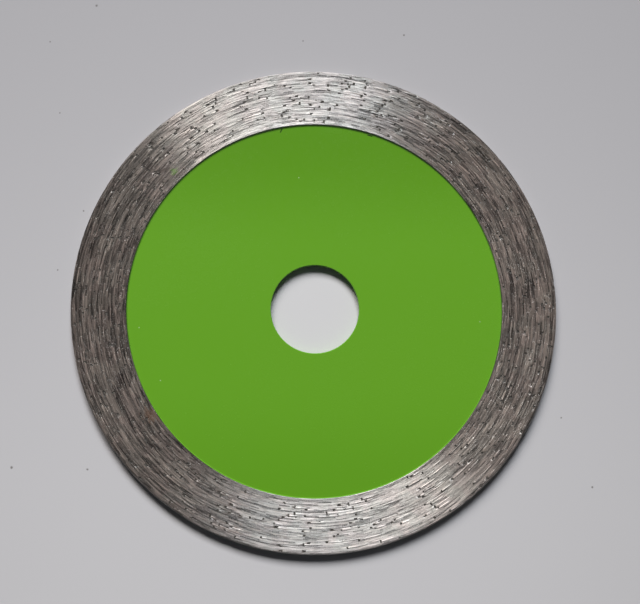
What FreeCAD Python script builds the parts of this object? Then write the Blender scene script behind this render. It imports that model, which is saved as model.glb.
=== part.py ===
import FreeCAD, Part
import math
import os
import Sketcher

# Continuous rim blade for cutting ceramic tile, lying flat on its rim.
# A painted steel core carries a ring of sintered metal bond with diamond grit in it.
# The core's edge is turned down to a tongue, and notched. The ring was pressed as powder round
# that tongue, so it holds it in a groove, and its bond fills the notches and can't turn.
# The origin is the centre of the bore, half way through the thickness. +Z is the spindle.

# Name of the size, its value and what it is, in millimetres unless it is a count.
DRIVING_SIZES = (
    ("rim_diameter", 110.0, "outside diameter of the blade"),
    ("rim_depth", 12.7, "sintered band, from the outside to where the paint starts"),
    ("rim_thickness", 2.2, "sintered ring, face to face"),
    ("rim_edge_radius", 0.4, "dressed corner between each face and the cutting edge"),
    ("rim_lip_bevel", 0.3, "run of the slope from the painted face up to the rim's face"),
    ("core_thickness", 1.4, "steel plate, where it is painted"),
    ("tongue_reach", 5.0, "how far the plate's edge runs on into the rim"),
    ("tongue_thickness", 1.0, "the plate's edge inside the rim"),
    ("bore_diameter", 20.0, "hole for the spindle"),
    ("bore_chamfer", 0.15, "deburred corner at each end of the bore"),
    ("notch_count", 20, "notches round the tongue"),
    ("notch_width", 3.0, "across one notch, and its root is a half circle"),
    ("notch_depth", 2.6, "from the tongue's edge to the root of a notch"),
)

# Radii and heights worked out from the sizes above, as expressions that the sketches are bound to.
OUTER = "sizes.rim_diameter / 2"
INNER = f"({OUTER} - sizes.rim_depth)"
TONGUE = f"({INNER} + sizes.tongue_reach)"
BORE = "sizes.bore_diameter / 2"
RIM_TOP = "sizes.rim_thickness / 2"
PLATE_TOP = "sizes.core_thickness / 2"
TONGUE_TOP = "sizes.tongue_thickness / 2"
NOTCH = "sizes.notch_width / 2"
NOTCH_ROOT = f"({TONGUE} - sizes.notch_depth + {NOTCH})"
CUT_CLEAR = f"({TONGUE} + {NOTCH})"  # past the tongue's round edge, so that a cut runs out
CUT_ABOVE = "sizes.core_thickness"  # past the plate's face by half its thickness

START, END, CENTRE = 1, 2, 3  # the points of a line or an arc, as a sketch counts them
ORIGIN, X_AXIS = (-1, 1), -1  # a sketch's own origin point and horizontal axis
UP = FreeCAD.Vector(0, 0, 1)
FULL_TURN = 360  # degrees
QUARTER = math.pi / 2  # radians
LENGTH_TOLERANCE = 1e-6  # mm, for telling one edge from another


def driving_sheet(doc):
    sheet = doc.addObject("Spreadsheet::Sheet", "sizes")
    for row, (name, value, meaning) in enumerate(DRIVING_SIZES, start=1):
        sheet.set(f"A{row}", name)
        sheet.set(f"B{row}", str(value))
        sheet.setAlias(f"B{row}", name)
        sheet.set(f"C{row}", meaning)
    doc.recompute()


def origin_part(body, role):
    """One of the body's own planes or axes, such as XY_Plane or Z_Axis."""
    return next(part for part in body.Origin.OriginFeatures if part.Role == role)


def sketch_on(body, role, name):
    sketch = body.newObject("Sketcher::SketchObject", name)
    sketch.AttachmentSupport = [(origin_part(body, role), "")]
    sketch.MapMode = "FlatFace"
    return sketch


def constrain(sketch, kind, *where):
    return sketch.addConstraint(Sketcher.Constraint(kind, *where))


def value_of(item, expression):
    return float(item.evalExpression(expression))


def size(sketch, name, expression, kind, *where):
    """A named dimension of a sketch, driven by the sheet."""
    index = constrain(sketch, kind, *where, value_of(sketch, expression))
    sketch.renameConstraint(index, name)
    sketch.setExpression(f"Constraints.{name}", expression)


def vector(x, y):
    return FreeCAD.Vector(x, y, 0)


def line(sketch, x0, y0, x1, y1):
    return sketch.addGeometry(Part.LineSegment(vector(x0, y0), vector(x1, y1)))


def arc(sketch, x, y, radius, first, last):
    circle = Part.Circle(vector(x, y), UP, radius)
    return sketch.addGeometry(Part.ArcOfCircle(circle, first, last))


def centred_circle(sketch, name, expression):
    circle = sketch.addGeometry(Part.Circle(vector(0, 0), UP, value_of(sketch, expression)))
    constrain(sketch, "Coincident", circle, CENTRE, *ORIGIN)
    size(sketch, name, expression, "Radius", circle)


def plate_outline(body):
    """The blank as it is cut from sheet steel: its edge and its bore."""
    sketch = sketch_on(body, "XY_Plane", "plate_outline")
    centred_circle(sketch, "edge_radius", TONGUE)
    centred_circle(sketch, "bore_radius", BORE)
    return sketch


def tongue_shoulder(body):
    """What is turned off the upper face to leave the tongue: x is the radius and y the height."""
    sketch = sketch_on(body, "XZ_Plane", "tongue_shoulder")
    near = value_of(sketch, INNER)
    far = value_of(sketch, CUT_CLEAR)
    low = value_of(sketch, TONGUE_TOP)
    high = value_of(sketch, CUT_ABOVE)
    floor = line(sketch, near, low, far, low)
    outside = line(sketch, far, low, far, high)
    top = line(sketch, far, high, near, high)
    shoulder = line(sketch, near, high, near, low)
    for first, then in ((floor, outside), (outside, top), (top, shoulder), (shoulder, floor)):
        constrain(sketch, "Coincident", first, END, then, START)
    for level in (floor, top):
        constrain(sketch, "Horizontal", level)
    for upright in (outside, shoulder):
        constrain(sketch, "Vertical", upright)
    size(sketch, "shoulder_place", INNER, "DistanceX", *ORIGIN, floor, START)
    size(sketch, "outside_place", CUT_CLEAR, "DistanceX", *ORIGIN, floor, END)
    size(sketch, "floor_height", TONGUE_TOP, "DistanceY", *ORIGIN, floor, START)
    size(sketch, "top_height", CUT_ABOVE, "DistanceY", *ORIGIN, top, START)
    return sketch


def notch_outline(body):
    """One notch on +X: a round root and straight sides that run out past the edge."""
    sketch = sketch_on(body, "XY_Plane", "notch_outline")
    half = value_of(sketch, NOTCH)
    root_centre = value_of(sketch, NOTCH_ROOT)
    mouth = value_of(sketch, CUT_CLEAR)
    upper = line(sketch, mouth, half, root_centre, half)
    root = arc(sketch, root_centre, 0, half, QUARTER, 3 * QUARTER)
    lower = line(sketch, root_centre, -half, mouth, -half)
    close = line(sketch, mouth, -half, mouth, half)
    constrain(sketch, "Tangent", upper, END, root, START)
    constrain(sketch, "Tangent", root, END, lower, START)
    constrain(sketch, "Coincident", lower, END, close, START)
    constrain(sketch, "Coincident", close, END, upper, START)
    constrain(sketch, "Horizontal", upper)
    constrain(sketch, "Horizontal", lower)
    constrain(sketch, "Vertical", close)
    constrain(sketch, "PointOnObject", root, CENTRE, X_AXIS)
    size(sketch, "root_radius", NOTCH, "Radius", root)
    size(sketch, "root_place", NOTCH_ROOT, "DistanceX", *ORIGIN, root, CENTRE)
    size(sketch, "mouth_place", CUT_CLEAR, "DistanceX", *ORIGIN, close, END)
    return sketch


def bore_edges(plate):
    """Names of the two round edges where the bore meets the plate's faces."""
    bore = value_of(plate, BORE)
    names = []
    for number, edge in enumerate(plate.Shape.Edges, start=1):
        if isinstance(edge.Curve, Part.Circle) and abs(edge.Curve.Radius - bore) < LENGTH_TOLERANCE:
            names.append(f"Edge{number}")
    return names


def core_plate(doc):
    body = doc.addObject("PartDesign::Body", "core_plate")
    body.Label = "core_plate"

    plate = body.newObject("PartDesign::Pad", "plate")
    plate.Profile = plate_outline(body)
    plate.SideType = "Symmetric"
    plate.setExpression("Length", "sizes.core_thickness")
    doc.recompute()

    deburr = body.newObject("PartDesign::Chamfer", "deburred_bore")
    deburr.Base = (plate, bore_edges(plate))
    deburr.setExpression("Size", "sizes.bore_chamfer")
    doc.recompute()

    shoulder = tongue_shoulder(body)
    turned = body.newObject("PartDesign::Groove", "turned_edge")
    turned.Profile = shoulder
    turned.ReferenceAxis = (shoulder, ["V_Axis"])
    turned.Angle = FULL_TURN
    doc.recompute()

    below = body.newObject("PartDesign::Mirrored", "turned_edge_below")
    below.Originals = [turned]
    below.MirrorPlane = (origin_part(body, "XY_Plane"), [""])
    body.Tip = below
    doc.recompute()

    notch = body.newObject("PartDesign::Pocket", "notch")
    notch.Profile = notch_outline(body)
    notch.SideType = "Symmetric"
    notch.Type = "ThroughAll"
    doc.recompute()

    notches = body.newObject("PartDesign::PolarPattern", "notches")
    notches.Originals = [notch]
    notches.Axis = (origin_part(body, "Z_Axis"), [""])
    notches.Angle = FULL_TURN
    notches.setExpression("Occurrences", "sizes.notch_count")
    body.Tip = notches
    doc.recompute()
    return body


def rim_section(body):
    """Half a cut through the ring: x is the radius and y the height, before the groove is there."""
    sketch = sketch_on(body, "XZ_Plane", "rim_section")
    outer = value_of(sketch, OUTER)
    inner = value_of(sketch, INNER)
    top = value_of(sketch, RIM_TOP)
    step = value_of(sketch, PLATE_TOP)
    corner = value_of(sketch, "sizes.rim_edge_radius")
    lip = inner + value_of(sketch, "sizes.rim_lip_bevel")

    wall = line(sketch, inner, step, inner, -step)
    lower_slope = line(sketch, inner, -step, lip, -top)
    lower_face = line(sketch, lip, -top, outer - corner, -top)
    lower_corner = arc(sketch, outer - corner, -top + corner, corner, -QUARTER, 0)
    edge = line(sketch, outer, -top + corner, outer, top - corner)
    upper_corner = arc(sketch, outer - corner, top - corner, corner, 0, QUARTER)
    upper_face = line(sketch, outer - corner, top, lip, top)
    upper_slope = line(sketch, lip, top, inner, step)

    for first, then in ((wall, lower_slope), (lower_slope, lower_face),
                        (upper_face, upper_slope), (upper_slope, wall)):
        constrain(sketch, "Coincident", first, END, then, START)
    for first, then in ((lower_face, lower_corner), (lower_corner, edge),
                        (edge, upper_corner), (upper_corner, upper_face)):
        constrain(sketch, "Tangent", first, END, then, START)
    constrain(sketch, "Vertical", edge)
    constrain(sketch, "Horizontal", lower_face)
    constrain(sketch, "Horizontal", upper_face)
    constrain(sketch, "Equal", lower_corner, upper_corner)
    constrain(sketch, "Symmetric", wall, START, wall, END, X_AXIS)
    constrain(sketch, "Symmetric", lower_face, START, upper_face, END, X_AXIS)

    size(sketch, "outer_radius", OUTER, "DistanceX", *ORIGIN, edge, START)
    size(sketch, "inner_radius", INNER, "DistanceX", *ORIGIN, wall, START)
    size(sketch, "thickness", "sizes.rim_thickness", "DistanceY", lower_face, START, upper_face, END)
    size(sketch, "painted_step", "sizes.core_thickness", "DistanceY", wall, END, wall, START)
    size(sketch, "corner", "sizes.rim_edge_radius", "Radius", upper_corner)
    size(sketch, "lip", "sizes.rim_lip_bevel", "DistanceX", wall, START, upper_face, END)
    return sketch


def rim_blank(doc):
    """The ring as a solid, with no room in it yet for the plate's edge."""
    body = doc.addObject("PartDesign::Body", "rim_blank")
    body.Label = "rim_blank"
    sketch = rim_section(body)
    ring = body.newObject("PartDesign::Revolution", "ring")
    ring.Profile = sketch
    ring.ReferenceAxis = (sketch, ["V_Axis"])
    ring.Angle = FULL_TURN
    body.Tip = ring
    doc.recompute()
    return body


def diamond_rim(doc, blank, plate):
    """The ring less the plate: that leaves the groove, and the teeth of bond in the notches."""
    rim = doc.addObject("Part::Cut", "diamond_rim")
    rim.Label = "diamond_rim"
    rim.Base = blank
    rim.Tool = plate
    doc.recompute()
    return rim


def check(doc, pieces):
    for item in doc.Objects:
        if "Invalid" in item.State or "Error" in item.State:
            raise RuntimeError(f"{item.Label} failed to build: {item.State}")
        if item.isDerivedFrom("Sketcher::SketchObject") and item.solve() != 0:
            raise RuntimeError(f"{item.Label} has constraints that can't all hold")
    for piece in pieces:
        if piece.Shape.isNull() or not piece.Shape.isValid() or len(piece.Shape.Solids) != 1:
            raise RuntimeError(f"{piece.Label} isn't one valid solid")


def write(pieces):
    os.makedirs("parts", exist_ok=True)
    for piece in pieces:
        piece.Shape.exportStep(f"parts/{piece.Label}.step")
        box = piece.Shape.optimalBoundingBox()
        print(f"{piece.Label}: {piece.Shape.Volume:.1f} mm3, "
              f"{box.XLength:.2f} x {box.YLength:.2f} x {box.ZLength:.2f} mm")


doc = FreeCAD.newDocument("tile_blade")
driving_sheet(doc)
plate = core_plate(doc)
rim = diamond_rim(doc, rim_blank(doc), plate)
check(doc, (plate, rim))
write((plate, rim))
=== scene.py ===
import math
import bmesh
import bpy
from mathutils import Matrix, Vector


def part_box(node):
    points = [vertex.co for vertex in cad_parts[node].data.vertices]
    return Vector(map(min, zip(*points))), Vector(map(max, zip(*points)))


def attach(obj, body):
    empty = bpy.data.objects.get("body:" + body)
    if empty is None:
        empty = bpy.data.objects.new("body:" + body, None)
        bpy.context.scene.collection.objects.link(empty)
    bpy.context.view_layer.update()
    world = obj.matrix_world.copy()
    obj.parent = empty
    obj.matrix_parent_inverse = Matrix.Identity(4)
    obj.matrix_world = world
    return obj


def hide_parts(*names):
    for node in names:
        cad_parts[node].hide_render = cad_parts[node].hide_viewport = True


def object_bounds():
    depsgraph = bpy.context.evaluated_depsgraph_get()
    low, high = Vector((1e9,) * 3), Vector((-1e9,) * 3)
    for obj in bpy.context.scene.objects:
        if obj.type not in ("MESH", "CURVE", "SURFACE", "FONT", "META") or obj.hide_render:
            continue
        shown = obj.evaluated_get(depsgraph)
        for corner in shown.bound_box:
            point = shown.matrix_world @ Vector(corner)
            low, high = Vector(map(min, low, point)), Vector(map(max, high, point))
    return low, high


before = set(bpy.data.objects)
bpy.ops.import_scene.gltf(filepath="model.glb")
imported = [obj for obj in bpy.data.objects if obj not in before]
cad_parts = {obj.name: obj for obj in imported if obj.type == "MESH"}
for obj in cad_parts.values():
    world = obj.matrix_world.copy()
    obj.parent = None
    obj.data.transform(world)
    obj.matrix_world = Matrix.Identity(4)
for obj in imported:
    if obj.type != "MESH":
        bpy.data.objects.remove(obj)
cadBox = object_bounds()
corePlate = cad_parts["core_plate"]
print("frame loaded")


# node trees: sums on a Wire add their own Math nodes, anything else goes through Graph.add
class Wire:
    def __init__(self, graph, socket):
        self.graph = graph
        self.socket = socket

    def at(self, name):  # another output of the same node
        return Wire(self.graph, self.socket.node.outputs[name])

    def __add__(self, other):
        return self.graph.math("ADD", self, other)

    def __radd__(self, other):
        return self.graph.math("ADD", other, self)

    def __sub__(self, other):
        return self.graph.math("SUBTRACT", self, other)

    def __rsub__(self, other):
        return self.graph.math("SUBTRACT", other, self)

    def __mul__(self, other):
        return self.graph.math("MULTIPLY", self, other)

    def __rmul__(self, other):
        return self.graph.math("MULTIPLY", other, self)

    def __truediv__(self, other):
        return self.graph.math("DIVIDE", self, other)

    def __rtruediv__(self, other):
        return self.graph.math("DIVIDE", other, self)

    def __pow__(self, other):
        return self.graph.math("POWER", self, other)


class Graph:
    def __init__(self, tree):
        self.tree = tree

    def add(self, kind, settings=None, inputs=None, output=0):
        node = self.tree.nodes.new(kind)
        for name, value in (settings or {}).items():
            setattr(node, name, value)
        for name, value in (inputs or {}).items():
            socket = next(s for i, s in enumerate(node.inputs) if name in (i, s.identifier, s.name))
            if isinstance(value, Wire):
                self.tree.links.new(value.socket, socket)
            else:
                socket.default_value = value
        named = [s for i, s in enumerate(node.outputs) if output in (i, s.identifier, s.name)]
        return Wire(self, named[0]) if named else node

    def math(self, operation, first, second=0.0):
        kind = {"operation": operation}
        return self.add("ShaderNodeMath", kind, {0: first, 1: second})

    def vector(self, operation, first, second=(0, 0, 0), output="Vector"):
        kind = {"operation": operation}
        return self.add("ShaderNodeVectorMath", kind, {0: first, 1: second}, output)

    def scaled(self, vector, factor):
        kind = {"operation": "SCALE"}
        return self.add("ShaderNodeVectorMath", kind, {0: vector, "Scale": factor})

    def parts(self, vector):
        x = self.add("ShaderNodeSeparateXYZ", {}, {0: vector}, "X")
        return x, x.at("Y"), x.at("Z")

    def joined(self, x, y, z):
        return self.add("ShaderNodeCombineXYZ", {}, {0: x, 1: y, 2: z})

    def length(self, x, y):
        return self.vector("LENGTH", self.joined(x, y, 0.0), output="Value")

    def fade(self, value, start, end):  # 0 at start, 1 at end, with soft ends
        kind = {"interpolation_type": "SMOOTHSTEP"}
        sockets = {"Value": value, "From Min": start, "From Max": end}
        return self.add("ShaderNodeMapRange", kind, sockets)

    def within(self, distance, solid, size):  # 1 on a mark, 0 beyond its size
        return 1 - self.fade(distance, size * solid, size)

    def mix(self, factor, first, second):
        kind = {"data_type": "RGBA"}
        sockets = {"Factor_Float": factor, "A_Color": first, "B_Color": second}
        return self.add("ShaderNodeMix", kind, sockets, "Result_Color")

    def noise(self, vector, scale=1.0, detail=2.0, roughness=0.5):
        sockets = {"Vector": vector, "Scale": scale, "Detail": detail, "Roughness": roughness}
        return self.add("ShaderNodeTexNoise", {"noise_dimensions": "3D"}, sockets)

    # drawn out round the blade: no seam, because the angle goes in as a point on a circle
    def turned(self, place, run, pitch):
        x, y, z = self.parts(place)
        radius = self.length(x, y)
        turns = rimShape["middleRadius"] / run
        return self.joined(x / radius * turns, y / radius * turns, (radius - z) * (1.0 / pitch))

    def turnedNoise(self, place, run, pitch):
        return self.noise(self.turned(place, run, pitch))

    # lanes round the blade, each cut into dashes with their own tone from 0 to 1
    def dashes(self, radius, angle, lanes):
        sway = self.math("SINE", angle * lanes["sways"] + lanes["seed"]) * lanes["sway"]
        lane = self.math("FLOOR", (radius + sway) / lanes["pitch"])
        start = self.chance(lane, lanes["seed"], 0.0)
        spread = self.chance(lane, lanes["seed"], 1.0) * lanes["spread"]
        count = self.math("FLOOR", lanes["fewest"] + spread)
        number = self.math("FLOOR", angle * count / (2 * math.pi) + start * lanes["slip"])
        return self.chance(lane, self.math("FLOORED_MODULO", number, count), lanes["seed"])

    def chance(self, x, y, z):
        kind = {"noise_dimensions": "3D"}
        return self.add("ShaderNodeTexWhiteNoise", kind, {"Vector": self.joined(x, y, z)}, "Value")

    def cells(self, vector, feature="F1", output="Color"):
        kind = {"voronoi_dimensions": "3D", "feature": feature}
        return self.add("ShaderNodeTexVoronoi", kind, {"Vector": vector, "Scale": 1.0}, output)


def newMaterial(name):
    material = bpy.data.materials.new(name)
    material.use_nodes = True
    material.node_tree.nodes.clear()
    return material, Graph(material.node_tree)


def finishMaterial(graph, shader):
    graph.add("ShaderNodeOutputMaterial", {}, {"Surface": shader})


def newObject(name, data):
    thing = bpy.data.objects.new(name, data)
    bpy.context.scene.collection.objects.link(thing)
    return thing


def newGeometryTree(name, inputs):
    tree = bpy.data.node_groups.new(name, "GeometryNodeTree")
    tree.interface.new_socket("Geometry", in_out="INPUT", socket_type="NodeSocketGeometry")
    tree.interface.new_socket("Geometry", in_out="OUTPUT", socket_type="NodeSocketGeometry")
    for label, value in inputs.items():
        kind = "NodeSocketFloat"
        if isinstance(value, bpy.types.Object):
            kind = "NodeSocketObject"
        elif isinstance(value, bpy.types.Material):
            kind = "NodeSocketMaterial"
        elif isinstance(value, int):
            kind = "NodeSocketInt"
        tree.interface.new_socket(label, in_out="INPUT", socket_type=kind)
    graph = Graph(tree)
    return graph, graph.add("NodeGroupInput", output="Geometry")


# the tree's result on a copy of the mesh, as a plain mesh with nothing live on it
def runTree(graph, geometry, inputs, mesh, name, sharpAngle=40):
    graph.add("NodeGroupOutput", {}, {"Geometry": geometry})
    piece = newObject(name, mesh.copy())
    modifier = piece.modifiers.new(name, "NODES")
    modifier.node_group = graph.tree
    for item in graph.tree.interface.items_tree:
        if item.name in inputs:
            modifier[item.identifier] = inputs[item.name]
    depsgraph = bpy.context.evaluated_depsgraph_get()
    result = bpy.data.meshes.new_from_object(piece.evaluated_get(depsgraph), depsgraph=depsgraph)
    piece.modifiers.clear()
    piece.data = result
    result.name = name
    result.shade_smooth()
    result.set_sharp_from_angle(angle=math.radians(sharpAngle))
    return piece


# the sizes that the CAD gives, in metres
def ringSizes():
    rounding = 1e-6
    pastPaint = 1e-4
    places = [v.co for v in corePlate.data.vertices]
    paintedTop = max(p.z for p in places)
    paintedRadius = max(p.xy.length for p in places if p.z > paintedTop - rounding)
    tongueTop = max(p.z for p in places if p.xy.length > paintedRadius + pastPaint)
    low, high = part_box("diamond_rim")
    return {
        "radius": min(-low.x, -low.y, high.x, high.y),
        "top": high.z,
        "paintedTop": paintedTop,
        "paintedRadius": paintedRadius,
        "tongueTop": tongueTop,
        "tongueRadius": max(p.xy.length for p in places),
        "middleRadius": (high.x + paintedRadius) / 2,
    }


rimShape = {
    "columns": 720,        # round the blade
    "faceRows": 50,        # across each dressed face
    "cornerRows": 4,
    "edgeRows": 6,
    "lipHold": (0.00009, 0.00022),   # the slope's bend, this far in and down from its upper edge
    "cornerRadius": 0.0004,
    "lipRun": 0.00028,     # slope from the paint up to the face
    "skin": 0.000002,      # kept clear of the CAD box
    "notches": 20,         # in the core's tongue, filled with bond
    "notchHalfWidth": 0.0015,
    "notchDepth": 0.0026,
}
rimShape.update(ringSizes())
rimShape["lipRadius"] = rimShape["paintedRadius"] + rimShape["lipRun"]


def stepped(start, end, rows):  # points after start, up to and with end
    return [[a + (b - a) * i / rows for a, b in zip(start, end)] for i in range(1, rows + 1)]


def corner(center, radius, fromAngle, toAngle, rows):
    angles = [fromAngle + (toAngle - fromAngle) * i / rows for i in range(1, rows + 1)]
    return [[center[0] + radius * math.cos(a), center[1] + radius * math.sin(a)] for a in angles]


# how deep the bond reaches in at this angle: to the tongue's edge, or to the root of a notch
def grooveFloor(angle):
    s = rimShape
    pitch = 2 * math.pi / s["notches"]
    offset = (angle + pitch / 2) % pitch - pitch / 2
    rootCenter = s["tongueRadius"] - s["notchDepth"] + s["notchHalfWidth"]
    aside = rootCenter * math.sin(offset)
    if abs(aside) >= s["notchHalfWidth"]:
        return s["tongueRadius"]
    return rootCenter * math.cos(offset) - math.sqrt(s["notchHalfWidth"] ** 2 - aside ** 2)


# one cut through the ring at this angle, as (radius, height) from the upper lip round to itself
def ringSection(angle):
    s = rimShape
    outer = s["radius"] - s["skin"]
    top = s["top"] - s["skin"]
    lip = s["lipRadius"]
    inner = s["paintedRadius"]
    bend = s["cornerRadius"]
    quarter = math.pi / 2
    floor = grooveFloor(angle)
    points = [[lip, top]]
    points += stepped([lip, top], [outer - bend, top], s["faceRows"])
    points += corner([outer - bend, top - bend], bend, quarter, 0, s["cornerRows"])
    points += stepped([outer, top - bend], [outer, bend - top], s["edgeRows"])
    points += corner([outer - bend, bend - top], bend, 0, -quarter, s["cornerRows"])
    points += stepped([outer - bend, -top], [lip, -top], s["faceRows"])
    hold = [lip - s["lipHold"][0], top - s["lipHold"][1]]
    points += [[hold[0], -hold[1]], [inner, -s["paintedTop"]]]
    points += [[inner, -s["tongueTop"]], [floor, -s["tongueTop"]]]
    points += [[floor, s["tongueTop"]], [inner, s["tongueTop"]]]
    return points + [[inner, s["paintedTop"]], hold]


def plainRing():
    columns = rimShape["columns"]
    angles = [2 * math.pi * i / columns for i in range(columns)]
    sections = [ringSection(a) for a in angles]
    rows = len(sections[0])
    places = []
    for angle, section in zip(angles, sections):
        places += [(r * math.cos(angle), r * math.sin(angle), z) for r, z in section]
    faces = []
    for i in range(columns):
        here = i * rows
        there = (i + 1) % columns * rows
        for j in range(rows):
            k = (j + 1) % rows
            faces.append((here + j, here + k, there + k, there + j))
    mesh = bpy.data.meshes.new("plainRing")
    mesh.from_pydata(places, [], faces)
    # 1 where the wheel dressed the ring, 0 on the lips and in the groove
    dressed = mesh.attributes.new("dressed", "FLOAT", "POINT")
    lastDressed = 2 * rimShape["faceRows"] + 2 * rimShape["cornerRows"] + rimShape["edgeRows"]
    share = [1.0 if 0 < j < lastDressed else 0.0 for j in range(rows)]
    dressed.data.foreach_set("value", share * columns)
    mesh.update()
    return mesh


ringMesh = plainRing()
print("plain ring", len(ringMesh.polygons), "faces")


greenEnamel = {
    "color": (0.127, 0.350, 0.0180, 1),
    "shadedGreen": (0.098, 0.283, 0.0085, 1),   # painted shade: the green turns to this away from and towards the viewer
    "shadeFar": (0.012, 0.041),           # from here up to here, away from the viewer
    "shadeNear": (-0.016, -0.044),        # and towards the viewer, with this share of it
    "nearShare": 0.45,
    "cloudSize": 0.03,                   # the coat's uneven thickness
    "cloudTone": 0.12,
    "cloudGloss": 0.1,
    "roughness": 0.26,
    "ior": 1.5,
    "peelSize": 0.0011,                  # orange peel
    "peelDepth": 0.0000012,
    "peelGloss": 0.06,
    "front": (0.0005, 0.0006),           # dust and hairs lie only above this height
    "dustColor": (0.42, 0.56, 0.30, 1),
    "dust": [(-0.0037, 0.0302), (-0.0396, -0.0043), (-0.0347, -0.0162), (0.0375, -0.0027)],
    "dustSize": (0.4, 0.00016),          # with the share of it that is solid
    "hairColor": (0.01, 0.025, 0.005, 1),
    "hairs": [(-0.0077, 0.0412, 65), (0.0126, 0.0401, 165)],   # from the brush, with their turn
    "hairLength": (0.7, 0.0007),         # half of it, as for the width
    "hairWidth": (0.5, 0.00015),
}


def makeEnamel():
    v = greenEnamel
    material, g = newMaterial("greenEnamel")
    place = g.add("ShaderNodeTexCoord", output="Object")
    x, y, z = g.parts(place)
    cloud = g.noise(place, 1 / v["cloudSize"], 2.0)
    # painted shade: the green darkens away from and towards the viewer, with the coat's random clouds
    # mixed in
    far = g.fade(y, *v["shadeFar"])
    near = g.fade(y, *v["shadeNear"])
    shadeAndCloud = far + near * v["nearShare"] + (cloud - 0.5) * v["cloudTone"]
    color = g.mix(shadeAndCloud, v["color"], v["shadedGreen"])
    front = g.fade(z, *v["front"])
    for dustX, dustY in v["dust"]:
        off = g.length(x - dustX, y - dustY)
        color = g.mix(g.within(off, *v["dustSize"]) * front, color, v["dustColor"])
    for hairX, hairY, turn in v["hairs"]:
        cosine = math.cos(math.radians(turn))
        sine = math.sin(math.radians(turn))
        along = g.math("ABSOLUTE", (x - hairX) * cosine + (y - hairY) * sine)
        aside = g.math("ABSOLUTE", (x - hairX) * -sine + (y - hairY) * cosine)
        hair = g.within(along, *v["hairLength"]) * g.within(aside, *v["hairWidth"])
        color = g.mix(hair * front, color, v["hairColor"])
    peel = g.noise(place, 1 / v["peelSize"], 1.0)
    rough = v["roughness"] + (cloud - 0.5) * v["cloudGloss"] + (peel - 0.5) * v["peelGloss"]
    height = {"Height": peel * v["peelDepth"], "Distance": 1.0, "Strength": 1.0}
    bump = g.add("ShaderNodeBump", {}, height)
    shader = g.add("ShaderNodeBsdfPrincipled", {}, {
        "Base Color": color, "Roughness": rough, "Normal": bump, "IOR": v["ior"]})
    finishMaterial(g, shader)
    return material


sinteredBond = {
    "bare": (0.450, 0.447, 0.444, 1),    # metal, where the turning left it bright
    "dull": (0.318, 0.251, 0.215, 1),    # binder and dust between
    "rosy": (1.02, 0.995, 0.985, 1),     # patches that tint both
    "mossy": (0.985, 1.005, 0.985, 1),
    "patchSize": 0.004,
    "patchFrom": (0.4, 0.6),
    "bareShare": 0.75,
    "bareSwing": 0.2,        # how far the streaks change that share
    "toneSwing": 1.25,       # how dark or light the streaks make the metal
    "brightCurb": 0.45,      # holds its light streaks back
    "dullSwing": 1.04,       # how dark or light they make the binder
    "dullSoft": 0.2,         # and how much it shows of the broad marks
    "dullBands": 0.25,
    "dullLine": 0.35,        # and of the dark lines
    "darkest": 0.2,
    "shadeDriftX": 2.0,           # painted light: lighter to the right, by this much for each metre
    "shadeDriftY": -1.3,          # painted shade: darker away from the viewer
    "roughness": 0.40,
    "roughSwing": 0.2,
    "dullRoughness": 0.8,
    "anisotropy": 0.99,
    "crossways": 0.25,       # turns the stretch to lie across the turning marks
    "ridgeHighlight": 1.18,       # painted highlight: the ridges' bond is this much lighter
    "markRun": 0.008,        # how far a turning mark goes round
    "markPitch": 0.00036,
    "flakeRun": 0.0042,      # smeared scales of bond, each with its own tone
    "flakePitch": 0.0004,
    "sliverRun": 0.0021,
    "sliverPitch": 0.0002,
    "bandRun": 0.028,
    "bandPitch": 0.0009,
    "gapWidth": (0.02, 0.16),      # of the dark line between scales, in scales
    "gapWhere": (0.64, 0.4),
    "gapShade": 0.27,
    "scoreRun": 0.010,       # long scored lines
    "scorePitch": 0.00075,
    "scoreWidth": (0.01, 0.09),
    "scoreWhere": (0.62, 0.44),
    "scoreShade": 0.4,
    "hairLanes": {"pitch": 0.00026, "fewest": 30, "spread": 110, "slip": 50,
                  "sways": 17, "sway": 0.00008, "seed": 3.3},
    "threadLanes": {"pitch": 0.00038, "fewest": 16, "spread": 50, "slip": 50,
                    "sways": 11, "sway": 0.00012, "seed": 8.1},
    "grainSize": 0.00024,
    "crispTones": {"hairs": 0.78, "threads": 0.30, "flake": 0.12, "sliver": 0.32, "grit": 0.8},
    "softTones": {"bands": 0.9, "turning": 0.8},
    "softShare": 0.24,
    "depths": {"turning": 0.00003, "flake": 0.00002, "sliver": 0.00002, "grit": 0.000007,
               "hairs": 0.000012, "threads": 0.00002},
    "speckFrom": (0.66, 0.8),
    "speckTone": 0.4,
    "glintFrom": (0.8, 0.95),
    "glint": 0.55,           # the lightest slivers of binder
    "lipBand": 0.0008,       # cleaner beside the paint
    "lipStreak": 0.2,        # so that streaks and lines lose this much there
    "lipLine": 0.3,
    "lipBare": 0.04,
    "slopeEdge": 0.00006,
    "slopeShade": 0.85,      # but not on the slope down to the paint, which takes this much painted shade
    "reliefFrom": (0.00005, 0.0001),       # inside and outside the slope's upper edge
    "cornerBand": (0.0015, 0.0001),        # inside the cutting edge
    # painted shade on the rounded cutting edge, toning down its highlight
    "cornerShade": 0.3,
    "paintCreep": 0.00017,   # up the slope
    "paintSoft": 0.00004,
    "front": (0.0005, 0.0008),             # the stains lie only above this height
    "stainDrag": 5.0,        # along the turning marks
    "stainGrain": 0.0005,
    "stainFray": 1.2,
    "stainEdge": (0.35, 1.1),
    "smudge": (-0.0324, 0.0316),           # a touch of the green on the rim
    "smudgeSize": 0.0009,
    "smudgeGaps": (0.15, 0.3),
    "smudgeStrength": 0.42,
    "rust": (-0.0366, -0.0240),
    "rustSize": 0.0016,
    "rustColor": (0.16, 0.075, 0.035, 1),
    "rustRoughness": 0.85,
    "rustStrength": 0.35,
}


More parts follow.
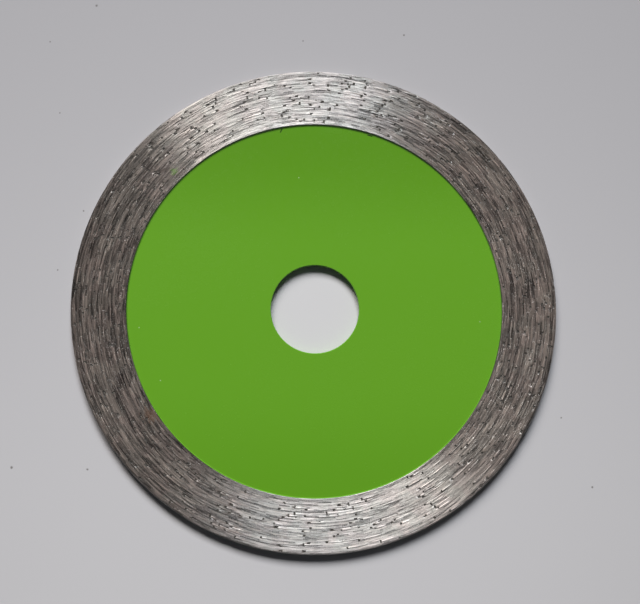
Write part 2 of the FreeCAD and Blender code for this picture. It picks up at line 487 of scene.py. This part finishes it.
# what the wheel left on the bond, each mark from 0 to 1, with the dark lines between
def bondMarks(g, place):
    v = sinteredBond
    x, y, z = g.parts(place)
    across = g.length(x, y) - z
    angle = g.math("ARCTAN2", y, x)
    scales = g.turned(place, v["flakeRun"], v["flakePitch"])
    slivers = g.turned(place, v["sliverRun"], v["sliverPitch"])
    scored = g.turned(place, v["scoreRun"], v["scorePitch"])
    marks = {
        "hairs": g.dashes(across, angle, v["hairLanes"]),
        "threads": g.dashes(across, angle, v["threadLanes"]),
        "turning": g.turnedNoise(place, v["markRun"], v["markPitch"]),
        "bands": g.turnedNoise(place, v["bandRun"], v["bandPitch"]),
        "flake": g.parts(g.cells(scales))[0],
        "sliver": g.parts(g.cells(slivers))[0],
        "grit": g.noise(place, 1 / v["grainSize"], 1.0),
    }
    gap = 1 - g.fade(g.cells(scales, "DISTANCE_TO_EDGE", "Distance"), *v["gapWidth"])
    gap = gap * g.fade(marks["turning"], *v["gapWhere"]) * v["gapShade"]
    score = 1 - g.fade(g.cells(scored, "DISTANCE_TO_EDGE", "Distance"), *v["scoreWidth"])
    score = score * g.fade(marks["bands"], *v["scoreWhere"]) * v["scoreShade"]
    return marks, g.math("MAXIMUM", gap, score)


def blended(marks, tones):
    return sum((marks[name] - 0.5) * tone for name, tone in tones.items())


# 1 on a ragged spot of the upper face, drawn out along the turning marks
def stain(g, place, turning, spot, size):
    v = sinteredBond
    x, y, z = g.parts(place)
    fray = g.noise(place, 1 / v["stainGrain"], 1.0)
    ragged = (turning - 0.5) * v["stainDrag"] + (fray - 0.5) * v["stainFray"]
    off = g.length(x - spot[0], y - spot[1]) / size
    return (1 - g.fade(off + ragged, *v["stainEdge"])) * g.fade(z, *v["front"])


# painted shade over the tone: on the slope and the rounded corner, and lighter or darker across the
# ring
def bondPaintedShade(g, place, radius):
    v = sinteredBond
    x, y = g.parts(place)[:2]
    lip = rimShape["lipRadius"]
    edge = rimShape["radius"]
    slope = 1 - g.fade(radius, lip - v["slopeEdge"], lip)
    rounded = g.fade(radius, edge - v["cornerBand"][0], edge - v["cornerBand"][1])
    shadeDrift = 1 + x * v["shadeDriftX"] + y * v["shadeDriftY"]
    return (1 - slope * v["slopeShade"] - rounded * v["cornerShade"]) * shadeDrift


# the lift paints a highlight: it makes the whole tone this much lighter
def makeSinteredBond(name, highlightLift):
    v = sinteredBond
    material, g = newMaterial(name)
    place = g.add("ShaderNodeTexCoord", output="Object")
    radius = g.length(*g.parts(place)[:2])
    marks, line = bondMarks(g, place)
    # painted shade on the slope and the rounded corner, and painted light and shade across the ring
    paintedShade = bondPaintedShade(g, place, radius)
    lip = rimShape["lipRadius"]
    clean = 1 - g.fade(radius, lip, lip + v["lipBand"])
    line = line * (1 - clean * v["lipLine"])
    specks = g.fade(marks["grit"], *v["speckFrom"]) * v["speckTone"]
    crisp = blended(marks, v["crispTones"]) + specks
    soft = blended(marks, v["softTones"])
    streak = (crisp + soft * v["softShare"]) * (1 - clean * v["lipStreak"])
    light = g.math("MAXIMUM", streak, 0.0)
    bare = v["bareShare"] - streak * v["bareSwing"] + clean * v["lipBare"]
    bright = (1 + (streak - light * v["brightCurb"]) * v["toneSwing"]) * (1 - line)
    glint = g.fade(marks["sliver"], *v["glintFrom"]) * v["glint"]
    broad = soft * v["dullSoft"] + (marks["bands"] - 0.5) * v["dullBands"]
    faint = (1 + (streak + glint + broad) * v["dullSwing"]) * (1 - line * v["dullLine"])
    patch = g.noise(place, 1 / v["patchSize"], 2.0)
    tint = g.mix(g.fade(patch, *v["patchFrom"]), v["mossy"], v["rosy"])
    height = sum(marks[name] * depth for name, depth in v["depths"].items())
    height = height * g.fade(radius, lip - v["reliefFrom"][0], lip + v["reliefFrom"][1])
    bump = g.add("ShaderNodeBump", {}, {"Height": height, "Distance": 1.0, "Strength": 1.0})
    bright = g.math("MAXIMUM", bright, v["darkest"]) * paintedShade * highlightLift
    metal = g.add("ShaderNodeBsdfPrincipled", {}, {
        "Base Color": g.scaled(g.vector("MULTIPLY", v["bare"][:3], tint), bright),
        "Metallic": 1.0, "Normal": bump,
        "Roughness": v["roughness"] + (marks["grit"] - 0.5) * v["roughSwing"],
        "Anisotropic": v["anisotropy"], "Anisotropic Rotation": v["crossways"]})
    faint = g.math("MAXIMUM", faint, v["darkest"]) * paintedShade * highlightLift
    binder = g.add("ShaderNodeBsdfPrincipled", {}, {
        "Base Color": g.scaled(g.vector("MULTIPLY", v["dull"][:3], tint), faint),
        "Roughness": v["dullRoughness"], "Normal": bump})
    sintered = g.add("ShaderNodeMixShader", {}, {0: bare, 1: binder, 2: metal})
    rust = g.add("ShaderNodeBsdfPrincipled", {}, {
        "Base Color": v["rustColor"], "Roughness": v["rustRoughness"]})
    rusty = stain(g, place, marks["turning"], v["rust"], v["rustSize"]) * v["rustStrength"]
    sintered = g.add("ShaderNodeMixShader", {}, {0: rusty, 1: sintered, 2: rust})
    paintEdge = rimShape["paintedRadius"] + v["paintCreep"]
    paint = 1 - g.fade(radius, paintEdge, paintEdge + v["paintSoft"])
    touch = stain(g, place, marks["turning"], v["smudge"], v["smudgeSize"])
    touch = touch * g.fade(marks["hairs"], *v["smudgeGaps"]) * v["smudgeStrength"]
    paint = g.math("MAXIMUM", paint, touch)
    coat = g.add("ShaderNodeBsdfPrincipled", {}, {
        "Base Color": greenEnamel["color"], "Roughness": greenEnamel["roughness"]})
    finishMaterial(g, g.add("ShaderNodeMixShader", {}, {0: paint, 1: sintered, 2: coat}))
    return material


# painted shade in the pits: their bond is much darker than the face, so they read dark
pitShadeFinish = {
    "dark": (0.03, 0.027, 0.024, 1),
    "light": (0.10, 0.092, 0.082, 1),
    "size": 0.0003,
    "tones": (0.3, 0.7),
    "roughness": 0.6,
    "roughSwing": 0.3,
}


def makePitMaterial():
    v = pitShadeFinish
    material, g = newMaterial("pitShadeBond")
    place = g.add("ShaderNodeTexCoord", output="Object")
    tint = g.noise(place, 1 / v["size"], 2.0)
    color = g.mix(g.fade(tint, *v["tones"]), v["dark"], v["light"])
    shader = g.add("ShaderNodeBsdfPrincipled", {}, {
        "Base Color": color, "Roughness": v["roughness"] + tint * v["roughSwing"]})
    finishMaterial(g, shader)
    return material


grainFinish = {
    "dark": (0.05, 0.046, 0.04, 1),
    "light": (0.24, 0.22, 0.185, 1),
    "size": 0.0006,
    "roughness": 0.55,
    "roughSwing": 0.4,
    "ior": 1.5,
}


def makeGrainMaterial():
    v = grainFinish
    material, g = newMaterial("diamondGrain")
    place = g.add("ShaderNodeTexCoord", output="Object")
    tint = g.noise(place, 1 / v["size"], 1.0)
    color = g.mix(tint, v["dark"], v["light"])
    rough = v["roughness"] + tint * v["roughSwing"]
    shader = g.add("ShaderNodeBsdfPrincipled", {}, {
        "Base Color": color, "Roughness": rough, "IOR": v["ior"]})
    finishMaterial(g, shader)
    return material


enamel = makeEnamel()
bond = makeSinteredBond("sinteredBond", 1.0)
# painted highlight: the ridges get a lighter copy of the bond
ridge = makeSinteredBond("bondRidgeHighlight", sinteredBond["ridgeHighlight"])
grain = makeGrainMaterial()
pitShadeBond = makePitMaterial()
corePlate.data.materials.clear()
corePlate.data.materials.append(enamel)


# where the diamond grains came to the surface, the same for the pits, the tails and the grains
grains = {
    "Density": 480000.0,   # for each square metre, where they lie closest
    "Spacing": 0.00075,
    "Cluster size": 0.0045,
    "Seed": 7,
}

grainPlaces = {
    "pastLip": (0.0003, 0.0004),   # clear of the slope by this much
    "square": 0.49,                # on the faces and the edge, not on the round corners
    "clusters": (0.28, 0.68),
    "sure": 0.99,
}


def scatterGrains(g, surface):
    v = grainPlaces
    dressed = g.add("GeometryNodeInputNamedAttribute", {"data_type": "FLOAT"}, {"Name": "dressed"})
    place = g.add("GeometryNodeInputPosition")
    radius = g.length(*g.parts(place)[:2])
    lip = rimShape["lipRadius"]
    offLip = g.fade(radius, lip + v["pastLip"][0], lip + v["pastLip"][1])
    level = g.math("ABSOLUTE", g.parts(g.add("GeometryNodeInputNormal"))[2])
    flat = g.math("GREATER_THAN", g.math("ABSOLUTE", level - 0.5), v["square"])
    keep = g.math("GREATER_THAN", dressed * offLip * flat, v["sure"])
    cluster = g.fade(g.noise(place, 1.0 / surface.at("Cluster size"), 1.0), *v["clusters"])
    points = g.add("GeometryNodeDistributePointsOnFaces", {"distribute_method": "POISSON"}, {
        "Mesh": surface, "Selection": keep, "Distance Min": surface.at("Spacing"),
        "Density Max": surface.at("Density"), "Density Factor": cluster,
        "Seed": surface.at("Seed")})
    kind = {"data_type": "FLOAT_VECTOR", "domain": "POINT"}
    head = g.add("GeometryNodeStoreNamedAttribute", kind, {
        "Geometry": points, "Name": "head", "Value": g.add("GeometryNodeInputPosition")})
    return head, points.at("Normal")


rimRelief = {
    "Wear": 0.00009,       # ground away on both faces, below the ridges
    "Edge wear": 0.1,      # share of it on the cutting edge
    "Mark depth": 0.00003,
    "Mark pitch": 0.00062,
    "Mark run": 0.014,
    "Wave depth": 0.000015,
    "Nick depth": 0.00012,
    "Pit reach": 0.00028,
    "Pit lead": 0.00012,   # ahead of the ridge
    "Pit depth": 0.00011,
    "Pit floor": 0.7,      # its width at the bottom, as a share
    "Pit tear": 0.0003,    # sideways, so that no two pits are alike
}

rimMarks = {
    "markRoughness": 0.55,
    "markFrom": (0.3, 0.72),
    "waveTurns": 12.0,           # of broad waves: how quickly they change round the blade
    "waveShare": 0.25,           # and across it, beside the marks' own rate
    "waveFrom": (0.3, 0.7),
    "nickSize": 0.0011,
    "nickFrom": (0.56, 0.75),
    "faceFrom": (0.25, 0.9),     # of the normal's height
    "lipWear": 0.15,             # share of the wear beside the paint
    "lipBand": 0.0008,
    "pitSlim": 0.72,             # less than 1, so that pits are longer than wide
    "pitLeast": 0.55,            # scales its distance where a lump brings its edge out
    "pitLump": 0.0012,
    "tearSize": 0.0004,
    "tearReach": (1.3, 2.0),     # it fades out over this, in reaches of a pit
    "tearFace": (0.9, 0.99),
}


def makeRim():
    v = rimMarks
    inputs = {**grains, **rimRelief, "Finish": bond, "Pit shade finish": pitShadeBond}
    g, start = newGeometryTree("rimRelief", inputs)
    points = scatterGrains(g, start)[0]
    place = g.add("GeometryNodeInputPosition")
    x, y, z = g.parts(place)
    radius = g.length(x, y)
    outward = g.add("GeometryNodeInputNormal")
    level = g.math("ABSOLUTE", g.parts(outward)[2])
    dressed = g.add("GeometryNodeInputNamedAttribute", {"data_type": "FLOAT"}, {"Name": "dressed"})

    # a pit round the head of each ridge, drawn out along the turning marks
    kind = {"target_element": "POINTS"}
    nearest = g.add("GeometryNodeProximity", kind, {"Geometry": points}, "Position")
    away = g.vector("SUBTRACT", place, nearest)
    tangent = g.vector("NORMALIZE", g.vector("CROSS_PRODUCT", (0, 0, 1), place))
    behind = g.vector("DOT_PRODUCT", away, tangent, "Value")
    beside = g.vector("SUBTRACT", away, g.scaled(tangent, behind))
    aside = g.vector("LENGTH", beside, output="Value")
    near = g.length((behind + start.at("Pit lead")) * v["pitSlim"], aside)
    near = near * (v["pitLeast"] + g.noise(place, 1 / v["pitLump"], 1.0))
    hit = g.math("LESS_THAN", near, start.at("Pit reach"))
    kind = {"data_type": "FLOAT", "domain": "FACE"}
    pitted = g.add("GeometryNodeStoreNamedAttribute", kind, {
        "Geometry": start, "Name": "pitted", "Value": hit})

    # what the wheel ground away, with nicks in the cutting edge
    turns = rimShape["middleRadius"] / start.at("Mark run")
    across = (radius - z) / start.at("Mark pitch")
    drawn = g.joined(x / radius * turns, y / radius * turns, across)
    marks = g.fade(g.noise(drawn, 1.0, 2.0, v["markRoughness"]), *v["markFrom"])
    broad = across * v["waveShare"]
    broad = g.joined(x / radius * v["waveTurns"], y / radius * v["waveTurns"], broad)
    wave = g.fade(g.noise(broad, 1.0, 1.0), *v["waveFrom"])
    depth = marks * start.at("Mark depth") + wave * start.at("Wave depth")
    edge = rimShape["radius"]
    atEdge = g.fade(radius, edge - rimShape["cornerRadius"], edge)
    nicks = g.fade(g.noise(place, 1 / v["nickSize"], 2.0), *v["nickFrom"])
    nicks = nicks * atEdge * start.at("Nick depth")
    onFace = g.fade(level, *v["faceFrom"])
    lip = rimShape["lipRadius"]
    offLip = v["lipWear"] + g.fade(radius, lip, lip + v["lipBand"]) * (1 - v["lipWear"])
    worn = start.at("Edge wear") + (1 - start.at("Edge wear")) * onFace
    push = ((depth + start.at("Wear")) * worn * offLip + nicks) * dressed * -1.0

    # the pits' edges, torn sideways
    ragged = g.noise(place, 1 / v["tearSize"], 0.0).at("Color")
    ragged = g.vector("SUBTRACT", ragged, (0.5, 0.5, 0.5))
    ragged = g.vector("MULTIPLY", ragged, (1, 1, 0))
    reach = start.at("Pit reach")
    byPit = 1 - g.fade(near, reach * v["tearReach"][0], reach * v["tearReach"][1])
    inPlane = g.fade(level, *v["tearFace"]) * dressed
    tear = g.scaled(ragged, byPit * inPlane * start.at("Pit tear"))
    moved = g.add("GeometryNodeSetPosition", {}, {
        "Geometry": pitted, "Offset": g.vector("ADD", g.scaled(outward, push), tear)})
    inPit = g.add("GeometryNodeInputNamedAttribute", {"data_type": "FLOAT"}, {"Name": "pitted"})
    dug = g.add("GeometryNodeExtrudeMesh", {"mode": "FACES"}, {
        "Mesh": moved, "Selection": g.math("GREATER_THAN", inPit, 0.5),
        "Offset Scale": start.at("Pit depth") * -1.0, "Individual": False})
    narrowed = g.add("GeometryNodeScaleElements", {"domain": "FACE"}, {
        "Geometry": dug, "Selection": dug.at("Top"), "Scale": start.at("Pit floor")})
    real = g.add("GeometryNodeRealizeInstances", {}, {"Geometry": narrowed})
    kind = {"operation": "OR"}
    inside = g.add("FunctionNodeBooleanMath", kind, {0: dug.at("Top"), 1: dug.at("Side")})
    finished = g.add("GeometryNodeSetMaterial", {}, {
        "Geometry": real, "Material": start.at("Finish")})
    # the pits' inside gets the darker bond, painted shade in the hollows
    finished = g.add("GeometryNodeSetMaterial", {}, {
        "Geometry": finished, "Selection": inside, "Material": start.at("Pit shade finish")})
    return runTree(g, finished, inputs, ringMesh, "sinteredRim")


bondTail = {
    "Shortest": 0.0016,
    "Longest": 0.0070,
    "Favour": 1.4,         # above 1, so that short ridges are the more common
    "Thinnest": 0.00014,   # half widths
    "Thickest": 0.00024,
    "Lowest": 0.00014,
    "Highest": 0.0002,
    "Behind": 0.00012,     # the grain
    "Waver": 0.00005,      # sideways, so that no two ridges are alike
    "Clear": 0.000004,     # under the CAD face
    "Length seed": 3,
    "Width seed": 4,
    "Height seed": 5,
}

tailBend = {
    "waverSize": 0.001,
    "waverFace": (0.7, 0.9),   # of the ring's half thickness, so that only the faces' ridges waver
}


# a ridge of bond, 1 long, half width 1 and 1 high: (how far along, half width, height)
def tailShape():
    stations = [(0.012, 0.7, -0.5), (0.0, 0.75, 1.0), (0.04, 1.0, 1.0), (0.3, 0.94, 0.98),
                (0.55, 0.8, 0.88), (0.8, 0.55, 0.66), (1.0, 0.15, 0.2)]
    profile = [(-1.0, -0.6), (-1.0, 0.15), (-0.66, 0.84), (0.0, 1.0),
               (0.66, 0.84), (1.0, 0.15), (1.0, -0.6)]
    around = len(profile)
    places = []
    for along, wide, high in stations:
        places += [(along, wide * v, high * h if h > 0 else h) for v, h in profile]
    faces = []
    for i in range(len(stations) - 1):
        for j in range(around):
            k = (j + 1) % around
            here = i * around
            there = here + around
            faces.append((here + j, here + k, there + k, there + j))
    faces.append(tuple(range(around))[::-1])
    faces.append(tuple(range(len(places) - around, len(places))))
    mesh = bpy.data.meshes.new("tailShape")
    mesh.from_pydata(places, [], faces)
    return newObject("tailShape", mesh)


def randomBetween(g, low, high, seed):
    sockets = {"Min_001": low, "Max_001": high, "Seed": seed}
    return g.add("FunctionNodeRandomValue", {"data_type": "FLOAT"}, sockets, "Value_001")


def makeTails():
    v = tailBend
    shape = tailShape()
    inputs = {**grains, **bondTail, "Shape": shape, "Finish": ridge}
    g, start = newGeometryTree("bondTails", inputs)
    points, normal = scatterGrains(g, start)
    along = g.vector("CROSS_PRODUCT", (0, 0, 1), g.add("GeometryNodeInputPosition"))
    kind = {"primary_axis": "Z", "secondary_axis": "X"}
    turn = g.add("FunctionNodeAxesToRotation", kind, {
        "Primary Axis": normal, "Secondary Axis": along})
    chance = randomBetween(g, 0.0, 1.0, start.at("Length seed")) ** start.at("Favour")
    length = start.at("Shortest") + (start.at("Longest") - start.at("Shortest")) * chance
    width = randomBetween(g, start.at("Thinnest"), start.at("Thickest"), start.at("Width seed"))
    height = randomBetween(g, start.at("Lowest"), start.at("Highest"), start.at("Height seed"))
    down = g.scaled(normal, (height + start.at("Clear")) * -1.0)
    back = g.scaled(g.vector("NORMALIZE", along), start.at("Behind"))
    sunk = g.add("GeometryNodeSetPosition", {}, {
        "Geometry": points, "Offset": g.vector("ADD", down, back)})
    straight = g.add("GeometryNodeObjectInfo", {}, {"Object": start.at("Shape")}, "Geometry")
    placed = g.add("GeometryNodeInstanceOnPoints", {}, {
        "Points": sunk, "Instance": straight, "Rotation": turn,
        "Scale": g.joined(length, width, height)})
    real = g.add("GeometryNodeRealizeInstances", {}, {"Geometry": placed})

    # bends each straight ridge round the spindle, about the radius of its head
    place = g.add("GeometryNodeInputPosition")
    head = g.add("GeometryNodeInputNamedAttribute", {"data_type": "FLOAT_VECTOR"}, {"Name": "head"})
    headX, headY, headZ = g.parts(head)
    flat = g.joined(headX, headY, 0.0)
    reach = g.vector("LENGTH", flat, output="Value")
    radial = g.vector("NORMALIZE", flat)
    tangent = g.vector("CROSS_PRODUCT", (0, 0, 1), radial)
    away = g.vector("SUBTRACT", place, head)
    angle = g.vector("DOT_PRODUCT", away, tangent, "Value") / reach
    newReach = reach + g.vector("DOT_PRODUCT", away, radial, "Value")
    outward = g.scaled(radial, newReach * g.math("COSINE", angle))
    onward = g.scaled(tangent, newReach * g.math("SINE", angle))
    bentX, bentY = g.parts(g.vector("ADD", outward, onward))[:2]
    stray = g.noise(place, 1 / v["waverSize"], 1.0).at("Color")
    stray = g.vector("SUBTRACT", stray, (0.5, 0.5, 0.5))
    top = rimShape["top"]
    onFace = g.math("ABSOLUTE", headZ)
    onFace = g.fade(onFace, top * v["waverFace"][0], top * v["waverFace"][1])
    stray = g.scaled(g.vector("MULTIPLY", stray, (1, 1, 0)), start.at("Waver") * onFace)
    curved = g.add("GeometryNodeSetPosition", {}, {
        "Geometry": real, "Position": g.joined(bentX, bentY, g.parts(place)[2]), "Offset": stray})
    finished = g.add("GeometryNodeSetMaterial", {}, {
        "Geometry": curved, "Material": start.at("Finish")})
    piece = runTree(g, finished, inputs, ringMesh, "bondTails")
    bpy.data.objects.remove(shape)
    return piece


diamondGrit = {
    "Share": 0.6,          # of the grains that are still held
    "Smallest": 0.00011,   # radii
    "Largest": 0.00019,
    "Sunk": 1.03,          # in radii
    "Size seed": 11,
    "Share seed": 12,
    "Tumble seed": 13,
}
fullTurn = (6.28, 6.28, 6.28)  # radians, about each axis


# a truncated octahedron, which is how these grains grow
def grainShape():
    sameFace = 0.05  # radians
    mesh = bpy.data.meshes.new("grainShape")
    shell = bmesh.new()
    for a in (-1, 1):
        for b in (-1, 1):
            orders = [(0, a, 2 * b), (a, 0, 2 * b), (0, 2 * a, b)]
            orders += [(a, 2 * b, 0), (2 * a, 0, b), (2 * a, b, 0)]
            for order in orders:
                shell.verts.new(Vector(order).normalized())
    bmesh.ops.convex_hull(shell, input=shell.verts)
    bmesh.ops.dissolve_limit(shell, angle_limit=sameFace, verts=shell.verts, edges=shell.edges)
    bmesh.ops.recalc_face_normals(shell, faces=shell.faces)
    shell.to_mesh(mesh)
    shell.free()
    return newObject("grainShape", mesh)


def makeGrit():
    shape = grainShape()
    inputs = {**grains, **diamondGrit, "Shape": shape, "Finish": grain}
    g, start = newGeometryTree("diamondGrit", inputs)
    points, normal = scatterGrains(g, start)
    size = randomBetween(g, start.at("Smallest"), start.at("Largest"), start.at("Size seed"))
    chance = randomBetween(g, 0.0, 1.0, start.at("Share seed"))
    held = g.math("LESS_THAN", chance, start.at("Share"))
    seated = g.add("GeometryNodeSetPosition", {}, {
        "Geometry": points, "Offset": g.scaled(normal, size * start.at("Sunk") * -1.0)})
    tumble = g.add("FunctionNodeRandomValue", {"data_type": "FLOAT_VECTOR"}, {
        "Max": fullTurn, "Seed": start.at("Tumble seed")})
    crystal = g.add("GeometryNodeObjectInfo", {}, {"Object": start.at("Shape")}, "Geometry")
    placed = g.add("GeometryNodeInstanceOnPoints", {}, {
        "Points": seated, "Selection": held, "Instance": crystal, "Rotation": tumble,
        "Scale": g.joined(size, size, size)})
    real = g.add("GeometryNodeRealizeInstances", {}, {"Geometry": placed})
    finished = g.add("GeometryNodeSetMaterial", {}, {
        "Geometry": real, "Material": start.at("Finish")})
    piece = runTree(g, finished, inputs, ringMesh, "diamondGrit")
    bpy.data.objects.remove(shape)
    return piece


sinteredRim = makeRim()
print("sintered rim", len(sinteredRim.data.polygons), "faces")
bondTails = makeTails()
print("bond tails", len(bondTails.data.polygons), "faces")
diamondGrains = makeGrit()
print("diamond grit", len(diamondGrains.data.polygons), "faces")

for piece in (sinteredRim, bondTails, diamondGrains):
    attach(piece, "root")
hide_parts("diamond_rim")


studio = {
    "floorNear": (0.52, 0.515, 0.53, 1),     # towards the viewer
    "floorFarShade": (0.42, 0.415, 0.435, 1),
    "floorShadeTurn": (-0.10, 0.10),              # painted shade: from here to here the near colour turns into the darker far one
    "floorBorePool": (0.612, 0.61, 0.622, 1),  # painted pool of light, seen through the bore
    "borePoolReach": (0.012, 0.05),              # reaching as far out as this
    "floorSize": 3.0,
    "floorGap": 0.00001,
    "floorRoughness": 0.8,
    "floorLightPool": (-0.003, -0.03),           # painted pool of light, brightest here
    "poolTone": 1.047,
    "poolEdge": (0.03, 0.15),
    "poolFalloff": 0.165,                      # and painted shade: darker by this much far from it
    "specks": [(-0.0505, 0.0706, 0.0005), (-0.0677, -0.0356, 0.0005), (0.0208, 0.0644, 0.0004),
               (-0.0509, -0.0360, 0.0004), (0.0629, -0.0401, 0.0004), (-0.0585, 0.0452, 0.0003),
               (0.0561, -0.0244, 0.0003), (-0.0027, 0.0628, 0.0003), (-0.0610, 0.0619, 0.0003),
               (-0.0527, 0.0225, 0.0003), (-0.0583, 0.0089, 0.0003)],
    "speckColor": (0.12, 0.11, 0.10, 1),
    "speckEdge": (0.6, 1.1),
    "speckGrain": 0.0004,                    # makes their outlines ragged
    "speckFray": 0.6,
    "speckStrength": 0.8,
    "windowAside": -0.481,   # how far right, up and high the window's middle is
    "windowAway": 2.183,
    "windowHigh": 2.03,
    "windowTurn": 16.4,      # degrees clockwise from facing straight down the picture
    "windowWidth": 2.2,
    "windowHeight": 1.56,
    "windowPower": 206.0,
    "windowLeft": (1.17, 1.08, 1.0, 1),    # warmer on the left
    "windowRight": (0.95, 1.0, 1.05, 1),
    "windowBar": 0.64,       # where its soft darker bar is, and how broad and dark
    "barReach": (0.02, 0.2),
    "barShade": 0.22,
    "roomColor": (0.9, 0.95, 1.0, 1),
    "roomLevel": 0.04,
    "horizon": (0.4, 0.25),      # sines of the heights between which it turns pale
    "horizonColor": (0.55, 0.55, 0.57, 1),
}


def makeFloor():
    v = studio
    half = v["floorSize"] / 2
    height = cadBox[0][2] - v["floorGap"]
    mesh = bpy.data.meshes.new("floor")
    corners = [(-half, -half), (half, -half), (half, half), (-half, half)]
    mesh.from_pydata([(x, y, height) for x, y in corners], [], [(0, 1, 2, 3)])
    material, g = newMaterial("paleFloor")
    place = g.add("ShaderNodeTexCoord", output="Object")
    x, y = g.parts(place)[:2]
    # painted shade: the floor darker away from the viewer
    color = g.mix(g.fade(y, *v["floorShadeTurn"]), v["floorNear"], v["floorFarShade"])
    # a painted pool of light on the floor, fading to painted shade away from it
    poolX, poolY = v["floorLightPool"]
    away = g.length(x - poolX, y - poolY)
    color = g.scaled(color, v["poolTone"] - g.fade(away, *v["poolEdge"]) * v["poolFalloff"])
    # painted light: the floor under the bore is paler
    color = g.mix(g.fade(g.length(x, y), *v["borePoolReach"]), v["floorBorePool"], color)
    uneven = g.noise(place, 1 / v["speckGrain"], 1.0) * v["speckFray"]
    for speckX, speckY, size in v["specks"]:
        off = g.length(x - speckX, y - speckY) / size
        speck = (1 - g.fade(off + uneven, *v["speckEdge"])) * v["speckStrength"]
        color = g.mix(speck, color, v["speckColor"])
    shader = g.add("ShaderNodeBsdfPrincipled", {}, {
        "Base Color": color, "Roughness": v["floorRoughness"]})
    finishMaterial(g, shader)
    mesh.materials.append(material)
    newObject("floor", mesh)


def makeWindow():
    v = studio
    data = bpy.data.lights.new("window", "AREA")
    data.shape = "RECTANGLE"
    data.size = v["windowWidth"]
    data.size_y = v["windowHeight"]
    data.energy = v["windowPower"]
    data.use_nodes = True
    data.node_tree.nodes.clear()
    g = Graph(data.node_tree)
    across = g.parts(g.add("ShaderNodeNewGeometry", output="Parametric"))[0]
    bar = 1 - g.fade(g.math("ABSOLUTE", across - v["windowBar"]), *v["barReach"])
    glow = g.add("ShaderNodeEmission", {}, {
        "Color": g.mix(across, v["windowRight"], v["windowLeft"]), "Strength": 1 - bar * v["barShade"]})
    g.add("ShaderNodeOutputLight", {}, {"Surface": glow})
    window = newObject("window", data)
    window.location = (v["windowAside"], v["windowAway"], v["windowHigh"])
    window.rotation_euler = (math.radians(90), 0, math.radians(180 - v["windowTurn"]))
    world = bpy.data.worlds.new("room")
    world.use_nodes = True
    world.node_tree.nodes.clear()
    g = Graph(world.node_tree)
    # pale low down, where the floor ends, as the camera and the metal see it
    path = g.add("ShaderNodeLightPath", output="Is Camera Ray")
    seen = g.math("MAXIMUM", path.at("Is Glossy Ray"), path.at("Is Transmission Ray"))
    seen = g.math("MAXIMUM", path, seen)
    height = g.parts(g.add("ShaderNodeTexCoord", output="Generated"))[2]
    seen = seen * g.fade(height, *v["horizon"])
    color = g.mix(seen, v["roomColor"], v["horizonColor"])
    level = v["roomLevel"] + seen * (1.0 - v["roomLevel"])
    room = g.add("ShaderNodeBackground", {}, {"Color": color, "Strength": level})
    g.add("ShaderNodeOutputWorld", {}, {"Surface": room})
    bpy.context.scene.world = world
    bpy.context.scene.view_settings.view_transform = "Standard"


photo = {
    "place": (-0.0122, -0.0323, 0.3156),
    "lens": 78.72,
    "sensor": 36.0,
    "shiftX": 0.0080,
    "shiftY": 0.0118,
    "nearest": 0.01,
}


def makeCamera():
    v = photo
    data = bpy.data.cameras.new("photoCamera")
    data.sensor_fit = "HORIZONTAL"
    data.sensor_width = v["sensor"]
    data.lens = v["lens"]
    data.shift_x = v["shiftX"]
    data.shift_y = v["shiftY"]
    data.clip_start = v["nearest"]
    camera = newObject("photoCamera", data)
    away = Vector(v["place"]).normalized()
    right = Vector((0, 1, 0)).cross(away).normalized()
    up = away.cross(right)
    camera.matrix_world = Matrix((
        (right.x, up.x, away.x, v["place"][0]),
        (right.y, up.y, away.y, v["place"][1]),
        (right.z, up.z, away.z, v["place"][2]),
        (0, 0, 0, 1)))
    bpy.context.scene.camera = camera


makeFloor()
makeWindow()
makeCamera()
print("studio and camera")
